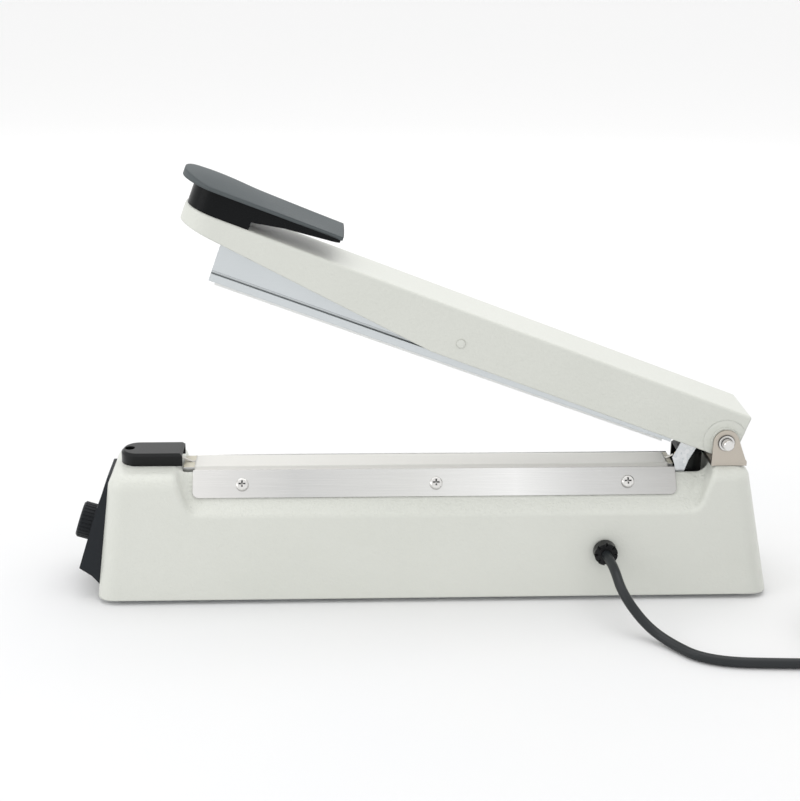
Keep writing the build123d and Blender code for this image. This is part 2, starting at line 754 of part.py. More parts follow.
def arm_block(inset, low, back):
    """Side outline crossed with the rounded plan."""
    half = arm_width / 2 - inset
    plan = box_between(
        arm_x(arm_reach - inset), arm_x(-arm_tail - 10), -half, half, arm_z(-80), arm_z(80))
    nose = [e for e in plan.edges().filter_by(Axis.Z) if e.center().X < pin_x - 100]
    plan = fillet(nose, nose_radius - inset)
    return arm_side(inset, low, back, half) & plan


arm_outer = arm_block(0, 0, 0)
roof_edges = arm_outer.faces().sort_by(Axis.Z)[-1].edges()
arm_outer = fillet(roof_edges, arm_edge_radius)
arm = arm_outer - arm_block(arm_sheet, 40, 5)
boss_end = ear_half - ear_thickness - boss_gap
arm_half = arm_width / 2
for side in (-1, 1):
    low_y = min(side * (arm_half - arm_sheet), side * boss_end)
    high_y = max(side * (arm_half - arm_sheet), side * boss_end)
    arm = arm + rod_y(pin_x, pin_z, boss_radius, low_y, high_y)
    low_rim = min(side * (arm_half - 0.2), side * (arm_half + rim_height))
    high_rim = max(side * (arm_half - 0.2), side * (arm_half + rim_height))
    rim = rod_y(pin_x, pin_z, rim_radius, low_rim, high_rim)
    arm = arm + (rim & arm_side(0, 0, 0, arm_width))
arm = arm - rod_y(pin_x, pin_z, bushing_radius + pin_play, -60, 60)
pivot_x = arm_x(pivot_ahead)
pivot_z = arm_z(pivot_up)
arm = arm - rod_y(pivot_x, pivot_z, pivot_radius + screw_play, -60, 60)
handle_screw_spots = [handle_screw_mid - handle_screw_pitch / 2, handle_screw_mid + handle_screw_pitch / 2]
for ahead in handle_screw_spots:
    arm = arm - rod_z(arm_x(ahead), 0, handle_screw_radius + screw_play, arm_z(0), arm_z(arm_crest + 5))


def raised(shape):
    """Swing a level shape about the hinge pin into the open pose."""
    return Pos(pin_x, 0, pin_z) * Rot(0, open_angle, 0) * Pos(-pin_x, 0, -pin_z) * shape


save("press_arm", raised(arm))

pivot_pin = rod_y(pivot_x, pivot_z, pivot_radius, -arm_half, arm_half)
for side in (-1, 1):
    near = min(side * arm_half, side * (arm_half + pivot_head_height))
    pivot_pin = pivot_pin + rod_y(pivot_x, pivot_z, pivot_head_radius, near, near + pivot_head_height)
save("bar_pivot_pin", raised(pivot_pin))
spacers = []
for side in (-1, 1):
    inner_y = side * (bar_width / 2 + slide_gap)
    outer_y = side * (arm_half - arm_sheet)
    tube = rod_y(pivot_x, pivot_z, spacer_radius, min(inner_y, outer_y), max(inner_y, outer_y))
    spacers.append(tube - rod_y(pivot_x, pivot_z, pivot_radius + screw_play, -60, 60))
save("pivot_spacers", raised(group(spacers)))

# upper leg of the torsion spring, pressing on the arm's roof
leg_tip = Vector(arm_x(spring_leg), 0, arm_z(arm_crest - arm_sheet - spring_wire / 2 - 0.05))
leg_root = Vector(pin_x, 0, arm_z(spring_radius))
leg_axis = leg_tip - leg_root
leg_y = -coil_height / 2 - spring_wire
leg_frame = Plane(origin=(leg_root.X, leg_y, leg_root.Z), z_dir=(leg_axis.X, 0, leg_axis.Z))
leg_rod = leg_frame * Pos(0, 0, leg_axis.length / 2) * Cylinder(spring_wire / 2, leg_axis.length)
save("return_spring_leg", raised(leg_rod))

# switch tongue: a flat kinked strip hanging from the arm
tongue_points = [
    (arm_x(21.9), arm_z(arm_crest - arm_sheet)), (arm_x(21.9), arm_z(-16.5)),
    (arm_x(22.6), arm_z(-24.4)), (arm_x(19.4), arm_z(-28.2)), (arm_x(16.5), arm_z(-33.0)),
    (arm_x(12.0), arm_z(-32.0)), (arm_x(12.6), arm_z(-22.0)), (arm_x(11.2), arm_z(-11.0)),
    (arm_x(11.2), arm_z(arm_crest - arm_sheet))]
tongue = side_prism(tongue_points, tongue_y, tongue_y + tongue_thickness)
tongue = tongue + box_between(
    arm_x(21.9), arm_x(11.2), -(arm_half - arm_sheet), tongue_y,
    arm_z(arm_crest - arm_sheet - tongue_thickness), arm_z(arm_crest - arm_sheet))
save("switch_tongue", raised(tongue))

# ---------------------------------------------------------------- pressing bar
closed_pivot_z = pin_z + pivot_ahead * sin(radians(closed_angle)) + pivot_up * cos(radians(closed_angle))
silicone_drop = closed_pivot_z - cloth_top - seal_gap
flange_bottom = -(silicone_drop - silicone_thickness)
bar_x0 = pivot_x - bar_front_reach
bar_x1 = pivot_x + bar_rear_reach
bar_half = bar_width / 2
groove_low = flange_bottom + flange_height
groove_high = groove_low + groove_height
floor_top = groove_high + bar_web
half_profile = [
    (bar_half, flange_bottom), (bar_half, groove_low), (bar_half - groove_depth, groove_low),
    (bar_half - groove_depth, groove_high), (bar_half, groove_high), (bar_half, bar_crest),
    (bar_half - bar_wall, bar_crest), (bar_half - bar_wall, floor_top)]
profile = half_profile + [(-y, z) for y, z in reversed(half_profile)]
bar = cross_prism([(y, pivot_z + z) for y, z in profile], bar_x0, bar_x1)
bar = bar - rod_y(pivot_x, pivot_z, pivot_radius + pin_play, -60, 60)
silicone = box_between(
    bar_x0 + silicone_inset, bar_x1 - silicone_inset, -silicone_width / 2, silicone_width / 2,
    pivot_z - silicone_drop, pivot_z + flange_bottom)


def drooped(shape):
    """Bar as it hangs on its pin while the arm is up."""
    return raised(Pos(pivot_x, 0, pivot_z) * Rot(0, -bar_droop, 0) * Pos(-pivot_x, 0, -pivot_z) * shape)


save("pressing_bar", drooped(bar))
save("silicone_strip", drooped(silicone))

# ---------------------------------------------------------------- handle
lip_slope = (lip_rear - lip_front) / (handle_front - handle_rear)


def lip_at(ahead):
    return lip_front + (handle_front - ahead) * lip_slope


def pad_section(ahead, width, crown):
    """Arched section across the pad."""
    half = width / 2
    low = arm_z(lip_at(ahead))
    high = low + lip_height
    line = Polyline((-half, high), (-half, low), (half, low), (half, high))
    arch = ThreePointArc((half, high), (0, high + crown), (-half, high))
    return Pos(arm_x(ahead), 0, 0) * (Plane.YZ * make_face(line + arch))


pad_mid = (handle_front + handle_rear) / 2
sections = [
    pad_section(handle_front, pad_width_front, crown_front),
    pad_section(handle_front - 16, pad_width_front, crown_high),
    pad_section(pad_mid, (pad_width_front + pad_width_rear) / 2, crown_mid),
    pad_section(handle_rear, pad_width_rear, crown_rear)]
pad = loft(sections)
pad_plan = box_between(
    arm_x(handle_front), arm_x(handle_rear), -pad_width_front / 2 - 0.5, pad_width_front / 2 + 0.5,
    arm_z(0), arm_z(80))
front_corners = [e for e in pad_plan.edges().filter_by(Axis.Z) if e.center().X < arm_x(pad_mid)]
pad_plan = fillet(front_corners, pad_width_front / 2 - 1)
rear_corners = [e for e in pad_plan.edges().filter_by(Axis.Z) if e.center().X > arm_x(pad_mid)]
pad_plan = fillet(rear_corners, 6)
pad = pad & pad_plan
save("handle_pad", raised(pad))

neck_half = neck_width / 2
neck_points = [
    (arm_x(neck_front), arm_z(arm_crest)), (arm_x(neck_front), arm_z(lip_at(neck_front))),
    (arm_x(handle_rear + 1), arm_z(lip_at(handle_rear + 1))),
    (arm_x(handle_rear + 1), arm_z(lip_at(handle_rear + 1) - grip_rear_depth)),
    (arm_x(neck_knee), arm_z(arm_crest + neck_knee_rise)),
    (arm_x(neck_rear), arm_z(arm_crest + neck_tail_rise)), (arm_x(neck_rear), arm_z(arm_crest))]
neck = side_prism(neck_points, -neck_half, neck_half)
neck_plan = box_between(
    arm_x(neck_front), arm_x(handle_rear), -neck_half, neck_half, arm_z(0), arm_z(80))
neck_corners = [e for e in neck_plan.edges().filter_by(Axis.Z) if e.center().X < arm_x(pad_mid)]
neck_plan = fillet(neck_corners, neck_half - 2)
neck_tail = [e for e in neck_plan.edges().filter_by(Axis.Z) if e.center().X > arm_x(pad_mid)]
neck_plan = fillet(neck_tail, 5)
neck = neck & neck_plan
handle_screws = []
screw_depth = 7.0
for ahead in handle_screw_spots:
    neck = neck - rod_z(
        arm_x(ahead), 0, handle_screw_radius + screw_play,
        arm_z(arm_crest - 1), arm_z(arm_crest + screw_depth))
    head_face = Plane(origin=(arm_x(ahead), 0, arm_z(arm_crest - arm_sheet)), z_dir=(0, 0, -1))
    handle_screws.append(head_face * pan_screw(handle_screw_radius, arm_sheet + screw_depth - 0.5, 4.6, 2.6))
save("handle_body", raised(neck))
save("handle_screws", raised(group(handle_screws)))

# ---------------------------------------------------------------- arm switch
switch_y = tongue_y + tongue_thickness / 2
switch_body = box_between(
    switch_x - switch_length * 0.75, switch_x + switch_length * 0.25,
    switch_y - switch_width / 2, switch_y + switch_width / 2, switch_top - switch_height, switch_top)
button_hole = rod_z(switch_x, switch_y, button_radius + pin_play, switch_top - 4, switch_top + 1)
for offset in (-11.5, -2.0):
    switch_body = switch_body - rod_y(
        switch_x + offset, switch_top - switch_height + 2.6, 1.2, switch_y - 10, switch_y + 10)
for offset in (-13.0, -8.0, -3.0):
    lug = box_between(switch_x + offset - 0.4, switch_x + offset + 0.4, switch_y - 1.6, switch_y + 1.6,
                      switch_top - switch_height - 4, switch_top - switch_height)
    switch_body = switch_body + lug
save("micro_switch", switch_body - button_hole)
save("switch_button", rod_z(switch_x, switch_y, button_radius, switch_top - 2.4, button_top))
hanger_y = switch_y + switch_width / 2
hanger = box_between(
    switch_x - switch_length * 0.75, switch_x + switch_length * 0.25, hanger_y, hanger_y + 1.2,
    switch_top - switch_height, channel_floor - wall)
save("switch_hanger", hanger)

# ---------------------------------------------------------------- transformer
core_bottom = plate_top_face + 1.5
core_top = core_bottom + core_height
half_core = core_length / 2
core = box_between(
    core_x - half_core, core_x + half_core, -core_depth / 2, core_depth / 2, core_bottom, core_top)
window = (core_length - 4 * core_limb) / 2
window_low = core_bottom + core_limb
window_high = core_top - core_limb
for side in (-1, 1):
    centre = core_x + side * (core_limb + window / 2)
    core = core - box_between(
        centre - window / 2, centre + window / 2, -core_depth, core_depth, window_low, window_high)
save("transformer_core", core)
bobbin_side = core_limb + window - coil_gap
bobbin_half_y = core_depth / 2 + window - 1
limb_hole = box_between(
    core_x - core_limb - coil_gap, core_x + core_limb + coil_gap,
    -core_depth / 2 - coil_gap, core_depth / 2 + coil_gap, core_bottom, core_top)


def wound_block(x_half, y_half, z0, z1):
    return box_between(core_x - x_half, core_x + x_half, -y_half, y_half, z0, z1) - limb_hole


tube_x = core_limb + coil_gap + 1.0
tube_y = core_depth / 2 + coil_gap + 1.0
bobbin = wound_block(tube_x, tube_y, window_low + coil_gap, window_high - coil_gap)
for z0 in (window_low + coil_gap, window_high - coil_gap - 1.0):
    bobbin = bobbin + wound_block(bobbin_side, bobbin_half_y, z0, z0 + 1.0)
save("transformer_bobbin", bobbin)
winding_low = window_low + coil_gap + 1.0
winding_high = window_high - coil_gap - 1.0
winding = box_between(
    core_x - bobbin_side + 0.6, core_x + bobbin_side - 0.6, -bobbin_half_y + 0.8, bobbin_half_y - 0.8,
    winding_low, winding_high)
winding = fillet(winding.edges().filter_by(Axis.Z), 2.5)
tube_solid = box_between(core_x - tube_x, core_x + tube_x, -tube_y, tube_y, core_bottom, core_top)
save("transformer_winding", winding - tube_solid)
strap_sheet = 1.5
strap_y = 9.0
strap_x = half_core + strap_sheet
strap = box_between(
    core_x - strap_x, core_x + strap_x, -strap_y, strap_y, plate_top_face, core_top + strap_sheet)
strap = strap - box_between(
    core_x - half_core, core_x + half_core, -strap_y - 1, strap_y + 1, plate_top_face - 1, core_top)
tab_reach = 11.0
transformer_screws = []
for side in (-1, 1):
    x0 = core_x + side * strap_x
    x1 = x0 + side * tab_reach
    tab = box_between(
        min(x0, x1), max(x0, x1), -strap_y, strap_y, plate_top_face, plate_top_face + strap_sheet)
    strap = strap + tab
    mid = (x0 + x1) / 2
    hole = rod_z(mid, 0, foot_screw_radius + screw_play, foot_height - 1, plate_top_face + strap_sheet + 1)
    strap = strap - hole
    bottom_plate = bottom_plate - hole
    transformer_screws.append(Pos(mid, 0, plate_top_face + strap_sheet) * pan_screw(
        foot_screw_radius, strap_sheet + plate_sheet, 3.4, 2.0))
save("transformer_strap", strap)
save("transformer_screws", group(transformer_screws))
core_rest = box_between(
    core_x - half_core + 4, core_x + half_core - 4, -core_depth / 2, core_depth / 2,
    plate_top_face, core_bottom)
save("transformer_pad", core_rest)

# ---------------------------------------------------------------- timer board
board = box_between(
    board_x - board_length / 2, board_x + board_length / 2, -board_width / 2, board_width / 2,
    board_z, board_z + board_thickness)
standoffs = []
for sx in (-1, 1):
    for sy in (-1, 1):
        px = board_x + sx * (board_length / 2 - 4)
        py = sy * (board_width / 2 - 4)
        post = rod_z(px, py, standoff_radius, plate_top_face, board_z)
        peg = rod_z(px, py, 1.4, board_z, board_z + board_thickness + 1)
        standoffs.append(post + peg)
        board = board - rod_z(px, py, 1.4 + screw_play, board_z - 1, board_z + board_thickness + 1)
save("timer_board", board)
save("board_standoffs", group(standoffs))
board_top = board_z + board_thickness
relay = box_between(board_x - 2, board_x + 17, -8, 8, board_top, board_top + 16)
save("timer_relay", fillet(relay.edges().filter_by(Axis.Z), 0.8))
capacitors = []
for cx, cy, cr, ch in ((-18, 10, 4.0, 12), (-18, -9, 5.0, 14), (-8, 14, 2.5, 8)):
    can = rod_z(board_x + cx, cy, cr, board_top, board_top + ch)
    capacitors.append(chamfer(can.faces().sort_by(Axis.Z)[-1].edges(), 0.5))
save("board_capacitors", group(capacitors))
block = box_between(board_x + 22, board_x + 31, -14, 14, board_top, board_top + 10)
for step in range(4):
    block = block - rod_z(board_x + 26.5, -10.5 + 7 * step, 2.0, board_top + 6, board_top + 11)
save("wire_terminal_block", block)
save("bottom_plate", bottom_plate)

# ---------------------------------------------------------------- mains cord
relief_in = -flank_y + 6
relief_out = -flank_y - relief_reach
relief = rod_y(cord_x, cord_z, relief_neck, -flank_y - 0.9, relief_in)
collar = rod_y(cord_x, cord_z, relief_radius, relief_out, -flank_y - 0.9)
notch_reach = relief_radius - cord_radius - 1
for step in range(relief_notches):
    turn = Pos(cord_x, relief_out, cord_z) * Rot(0, step * 360 / relief_notches, 0)
    collar = collar - turn * Pos(relief_radius + 1 - notch_reach / 2, relief_notch_depth / 2 - 0.5, 0) * Box(
        notch_reach, relief_notch_depth + 1, relief_notch_width)
relief = relief + collar
save("cord_strain_relief", relief)

ground = cord_radius + 0.1
coil_y = cord_lane_y + coil_radius
lane_end_x = coil_x - 12.5
lane_mid_x = lane_end_x - 50.5
# out of the gland level, down to the table, then round into the straight run
route = [
    (cord_x, relief_out, cord_z), (cord_x + 1.8, relief_out - 15.3, cord_z),
    (cord_x + 4.1, relief_out - 34, 0.72 * cord_z), (cord_x + 15.5, relief_out - 45.8, 0.3 * cord_z),
    (cord_x + 27.5, relief_out - 57, ground), (cord_x + 46.3, relief_out - 82.4, ground),
    (lane_mid_x, cord_lane_y - 0.4, ground), (lane_end_x, cord_lane_y, ground)]


def corner_radii(points):
    """Fillet radius for each inner corner from its own runs and turn."""
    radii = []
    for i in range(1, len(points) - 1):
        before = Vector(*points[i]) - Vector(*points[i - 1])
        after = Vector(*points[i + 1]) - Vector(*points[i])
        turn = radians(before.get_angle(after))
        radii.append(0.45 * min(before.length, after.length) / tan(turn / 2))
    return radii


radii = corner_radii(route)
print("cord corner radii", [round(r, 1) for r in radii])
cord_path = FilletPolyline(*route, radius=radii)
cord_face = Plane(origin=cord_path @ 0, z_dir=cord_path % 0) * Circle(cord_radius)
cord = sweep(cord_face, cord_path)
print("cord volume ratio", round(cord.volume / (pi * cord_radius ** 2 * cord_path.length), 4))

ring_half = coil_layers * cord_radius + 0.2
ring_high = coil_rows * 2 * cord_radius + 0.2
ring_section = Pos(coil_radius, 0) * RectangleRounded(2 * ring_half, ring_high, cord_radius)
ring = revolve(Plane.XZ * ring_section, Axis.Z)
coil = Pos(coil_x, coil_y, ring_high / 2) * ring
save("cord_coil", coil)
save("power_cord", cord - coil - relief)
tie_inner = 2 * ring_half + 2 * tie_play
tie_band = Box(tie_inner + 2 * tie_wall, tie_width, ring_high + tie_wall)
tie_band = tie_band - Pos(0, 0, -tie_wall) * Box(tie_inner, tie_width + 1, ring_high + tie_wall)
tie = Pos(coil_x + coil_radius, coil_y, (ring_high + tie_wall) / 2) * tie_band
save("cord_tie", tie)
stowed = 2 * pi * coil_radius * coil_rows * coil_layers
print("cord length shown", round(cord_path.length), "stowed", round(stowed))

plug_y = coil_y - coil_radius - cord_radius
plug_x = coil_x + plug_lead
grip_x = plug_x + boot_length
boot = Pos(plug_x + boot_length / 2, plug_y, plug_z) * Rot(0, 90, 0) * Cone(
    boot_radius_small, boot_radius_big, boot_length)
grip = box_between(
    grip_x, grip_x + grip_length, plug_y - grip_width / 2, plug_y + grip_width / 2,
    plug_z - grip_height / 2, plug_z + grip_height / 2)
grip = fillet(grip.edges().filter_by(Axis.X), 6)
grip = fillet(grip.faces().sort_by(Axis.X)[0].edges(), 3)
save("plug_body", boot + grip - coil)
pins = []
for side in (-1, 1):
    start = grip_x + grip_length
    shank = Pos(start + plug_pin_length / 2, plug_y + side * plug_pin_pitch / 2, plug_z) * Rot(
        0, 90, 0) * Cylinder(plug_pin_radius, plug_pin_length)
    pins.append(fillet(shank.faces().sort_by(Axis.X)[-1].edges(), plug_pin_round))
save("plug_pins", group(pins))
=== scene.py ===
import math

import bmesh
import bpy
from mathutils import Matrix, Vector, noise


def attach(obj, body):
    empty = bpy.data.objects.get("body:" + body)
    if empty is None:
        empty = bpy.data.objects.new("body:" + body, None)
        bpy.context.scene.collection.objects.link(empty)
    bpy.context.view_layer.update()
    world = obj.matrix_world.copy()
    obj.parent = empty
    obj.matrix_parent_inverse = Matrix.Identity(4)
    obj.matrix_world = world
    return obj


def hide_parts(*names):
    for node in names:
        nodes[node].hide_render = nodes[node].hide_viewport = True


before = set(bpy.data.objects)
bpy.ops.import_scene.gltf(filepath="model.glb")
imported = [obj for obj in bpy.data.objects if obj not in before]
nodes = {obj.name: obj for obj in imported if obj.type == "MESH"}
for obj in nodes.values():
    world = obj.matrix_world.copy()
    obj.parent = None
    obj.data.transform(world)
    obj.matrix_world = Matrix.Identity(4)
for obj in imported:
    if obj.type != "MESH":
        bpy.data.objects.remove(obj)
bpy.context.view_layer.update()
print("frame loaded", len(nodes))


class Signal:
    # a shader socket that can be used in arithmetic
    def __init__(self, paint, socket):
        self.paint = paint
        self.socket = socket

    def maths(self, operation, first, second):
        return self.paint.node("ShaderNodeMath", {"operation": operation}, {0: first, 1: second})

    def __add__(self, other):
        return self.maths("ADD", self, other)

    def __radd__(self, other):
        return self.maths("ADD", other, self)

    def __sub__(self, other):
        return self.maths("SUBTRACT", self, other)

    def __rsub__(self, other):
        return self.maths("SUBTRACT", other, self)

    def __mul__(self, other):
        return self.maths("MULTIPLY", self, other)

    def __rmul__(self, other):
        return self.maths("MULTIPLY", other, self)


class Paint:
    # a material with one Principled surface, built node by node
    def __init__(self, name, **values):
        self.material = bpy.data.materials.new(name)
        self.material.use_nodes = True
        self.tree = self.material.node_tree
        self.surface = self.tree.nodes["Principled BSDF"]
        for key, value in values.items():
            self.surface.inputs[key.replace("_", " ")].default_value = value
        self.place = self.node("ShaderNodeTexCoord", {}, {}, "Object")

    def node(self, kind, settings, values, output=0):
        made = self.tree.nodes.new(kind)
        for key, value in settings.items():
            if key == "stops":
                ramp = made.color_ramp
                while len(ramp.elements) < len(value):
                    ramp.elements.new(0.5)
                for element, (position, colour) in zip(ramp.elements, value):
                    element.position = position
                    element.color = colour
            else:
                setattr(made, key, value)
        for key, value in values.items():
            if isinstance(value, Signal):
                self.tree.links.new(value.socket, made.inputs[key])
            else:
                made.inputs[key].default_value = value
        return Signal(self, made.outputs[output])

    def feed(self, socket, signal):
        self.tree.links.new(signal.socket, self.surface.inputs[socket])

    def stretched(self, x, y, z):
        return self.node("ShaderNodeMapping", {}, {"Vector": self.place, "Scale": (x, y, z)})

    def grain(self, scale, detail=2.0, roughness=0.5, place=None):
        return self.node("ShaderNodeTexNoise", {}, {
            "Vector": place or self.place, "Scale": scale, "Detail": detail, "Roughness": roughness})

    def ramp(self, signal, *stops):
        return self.node("ShaderNodeValToRGB", {"stops": stops}, {0: signal})

    def level(self, signal, low, high, fromLow=0.0, fromHigh=1.0):
        return self.node("ShaderNodeMapRange", {}, {
            "Value": signal, "From Min": fromLow, "From Max": fromHigh, "To Min": low, "To Max": high})

    def blend(self, factor, first, second):
        return self.node("ShaderNodeMix", {"data_type": "RGBA"}, {0: factor, 6: first, 7: second}, 2)

    def bump(self, height, strength, distance, under=None):
        values = {"Height": height, "Strength": strength, "Distance": distance}
        if under:
            values["Normal"] = under
        return self.node("ShaderNodeBump", {}, values)

    def hollows(self, reach):
        # 0 down in recesses and narrow gaps, 1 in the open; used as the mask for painted shade
        return self.node("ShaderNodeAmbientOcclusion", {"samples": 8}, {"Distance": reach}, 1)

    def rounded(self, radius):
        # softened normal at hard edges
        return self.node("ShaderNodeBevel", {"samples": 4}, {"Radius": radius})


def shade(red, green, blue):
    return (red, green, blue, 1.0)


# ---- camera first, then the light and the table
cameraView = {
    "place": (-0.0507, -0.8824, 0.4221), "yaw": 0.0494, "pitch": 0.3565, "roll": 0.0103,
    "lens": 67.52, "shiftX": -0.0094, "shiftY": 0.0487}


def makeCamera(view):
    data = bpy.data.cameras.new("viewCamera")
    data.sensor_fit = "HORIZONTAL"
    data.sensor_width = 36
    data.lens = view["lens"]
    data.shift_x = view["shiftX"]
    data.shift_y = view["shiftY"]
    data.clip_start = 0.01
    data.clip_end = 60
    yaw, pitch, roll = view["yaw"], view["pitch"], view["roll"]
    forward = Vector((math.sin(yaw) * math.cos(pitch), math.cos(yaw) * math.cos(pitch), -math.sin(pitch)))
    level = Vector((math.cos(yaw), -math.sin(yaw), 0))
    upright = level.cross(forward)
    right = level * math.cos(roll) + upright * math.sin(roll)
    above = upright * math.cos(roll) - level * math.sin(roll)
    turn = Matrix((right, above, -forward)).transposed().to_4x4()
    camera = bpy.data.objects.new("viewCamera", data)
    camera.matrix_world = Matrix.Translation(view["place"]) @ turn
    bpy.context.scene.collection.objects.link(camera)
    bpy.context.scene.camera = camera


makeCamera(cameraView)

studio = {
    "world": 0.94, "topPower": 6.5, "topSize": 1.6, "backPower": 1.5, "leftPower": 3.0,
    "frontPower": 0.5,
    "floorTone": 0.82, "paintedFarTone": 0.99, "floorHalf": 8.0}


def areaLight(name, power, size, place, target):
    data = bpy.data.lights.new(name, "AREA")
    data.energy = power
    data.shape = "RECTANGLE"
    data.size, data.size_y = size
    light = bpy.data.objects.new(name, data)
    direction = Vector(target) - Vector(place)
    light.location = place
    light.rotation_euler = direction.to_track_quat("-Z", "Y").to_euler()
    bpy.context.scene.collection.objects.link(light)


def makeStudio(setup):
    world = bpy.data.worlds.new("studio")
    bpy.context.scene.world = world
    world.use_nodes = True
    back = world.node_tree.nodes["Background"]
    back.inputs["Color"].default_value = (1, 1, 1, 1)
    back.inputs["Strength"].default_value = setup["world"]
    size = setup["topSize"]
    areaLight("topPanel", setup["topPower"], (size, size * 0.7), (0.0, 0.15, 1.5), (0, 0, 0.05))
    areaLight("backPanel", setup["backPower"], (1.8, 0.8), (0.1, 1.4, 0.9), (0, 0, 0.1))
    areaLight("leftPanel", setup["leftPower"], (0.8, 0.8), (-1.3, -0.5, 0.8), (0, 0, 0.1))
    areaLight("frontPanel", setup["frontPower"], (1.6, 0.5), (0.2, -1.6, 1.2), (0, 0, 0.1))
    floorMesh = bpy.data.meshes.new("floor")
    sheet = bmesh.new()
    bmesh.ops.create_grid(sheet, x_segments=1, y_segments=1, size=setup["floorHalf"])
    sheet.to_mesh(floorMesh)
    sheet.free()
    floor = bpy.data.objects.new("floor", floorMesh)
    bpy.context.scene.collection.objects.link(floor)
    paint = Paint("floorPaper", Roughness=0.75)
    tone = setup["floorTone"]
    far = setup["paintedFarTone"]
    speck = paint.grain(6.0, 3)
    near = paint.ramp(speck, (0.3, shade(tone * 0.985, tone * 0.99, tone)), (0.7, shade(tone, tone, tone)))
    # painted light: the floor colour brightens from floorTone near the object to the far tone at the back
    back = paint.level(paint.node("ShaderNodeSeparateXYZ", {}, {0: paint.place}, 1), 0.0, 1.0, 0.15, 1.3)
    paint.feed("Base Color", paint.blend(back, near, shade(far, far, far)))
    floorMesh.materials.append(paint.material)


makeStudio(studio)
bpy.context.scene.view_settings.view_transform = "Standard"
print("studio ready")

# ---- finishes
creamTone = shade(0.64, 0.655, 0.60)
creamLight = shade(0.70, 0.71, 0.66)


def creamEnamel(name, peel, fine, depth, topPeel=1.0):
    # topPeel: how much coarser the finish looks on faces that face up
    paint = Paint(name, Roughness=0.42, Coat_Weight=0.25, Coat_Roughness=0.2)
    cloud = paint.grain(14.0, 3)
    paint.feed("Base Color", paint.blend(cloud, creamTone, creamLight))
    facing = paint.node("ShaderNodeNewGeometry", {}, {}, "Normal")
    rise = paint.node("ShaderNodeSeparateXYZ", {}, {0: facing}, 2)
    peelMap = paint.grain(peel, 2.0, 0.45) * paint.level(rise, 1.0, topPeel, 0.25, 0.6)
    fineMap = paint.grain(fine, 3.0, 0.6)
    paint.feed("Roughness", paint.level(fineMap, 0.36, 0.52))
    soft = paint.bump(peelMap, 0.55, depth, paint.rounded(0.0012))
    paint.feed("Normal", paint.bump(fineMap, 0.25, depth * 0.35, soft))
    return paint.material


castingEnamel = creamEnamel("castingEnamel", 620.0, 1900.0, 0.00035, 3.2)
armEnamel = creamEnamel("armEnamel", 520.0, 1600.0, 0.0006)


def mouldedBlack(name, tone, roughness, grainScale, grainDepth, shine=0.2, edge=0.0006):
    paint = Paint(name, Roughness=roughness, Specular_IOR_Level=shine)
    cloud = paint.grain(40.0, 4)
    dark = shade(*[c * 0.8 for c in tone])
    paint.feed("Base Color", paint.blend(cloud, dark, shade(*tone)))
    speck = paint.grain(grainScale, 3.0, 0.7)
    paint.feed("Roughness", paint.level(speck, roughness * 0.85, min(1.0, roughness * 1.2)))
    paint.feed("Normal", paint.bump(speck, 0.5, grainDepth, paint.rounded(edge)))
    return paint.material


panelBlack = mouldedBlack("panelBlack", (0.019, 0.022, 0.026), 0.45, 2600.0, 0.00012, 0.16, 0.001)
coverBlack = mouldedBlack("coverBlack", (0.008, 0.0085, 0.009), 0.3, 2200.0, 0.00008, 0.25, 0.0008)
gripBlack = mouldedBlack("gripBlack", (0.004, 0.0048, 0.0055), 0.26, 1800.0, 0.00006, 0.14, 0.0012)
padBlack = mouldedBlack("padBlack", (0.10, 0.115, 0.12), 0.62, 2800.0, 0.0003, 0.35, 0.0022)
knobBlack = mouldedBlack("knobBlack", (0.012, 0.0145, 0.018), 0.45, 2600.0, 0.0001, 0.25, 0.0005)
cordBlack = mouldedBlack("cordBlack", (0.014, 0.017, 0.019), 0.38, 1500.0, 0.00006, 0.4)
feetRubber = mouldedBlack("feetRubber", (0.02, 0.02, 0.02), 0.8, 2000.0, 0.0001)


def brushedMetal(name, tone, roughness, streak, depth=0.00002, metallic=1.0, edge=0.0004, gapReach=0.0012):
    # streak is the stretch of the brush lines along each axis
    paint = Paint(name, Metallic=metallic, Roughness=roughness)
    lines = paint.grain(1.0, 4.0, 0.65, paint.stretched(*streak))
    cloud = paint.grain(25.0, 3)
    dark = shade(*[c * 0.88 for c in tone])
    metal = paint.blend(lines * 0.6 + cloud * 0.4, dark, shade(*tone))
    # painted shade: the base colour goes nearly black in recesses and narrow gaps, standing in for the
    # shadow there
    paintedRecessShade = shade(*[c * 0.06 for c in tone])
    openness = paint.level(paint.hollows(gapReach), 0.0, 1.0, 0.45, 0.95)
    paint.feed("Base Color", paint.blend(openness, paintedRecessShade, metal))
    paint.feed("Roughness", paint.level(lines, roughness * 0.75, roughness * 1.3))
    paint.feed("Normal", paint.bump(lines, 0.35, depth, paint.rounded(edge)))
    return paint.material


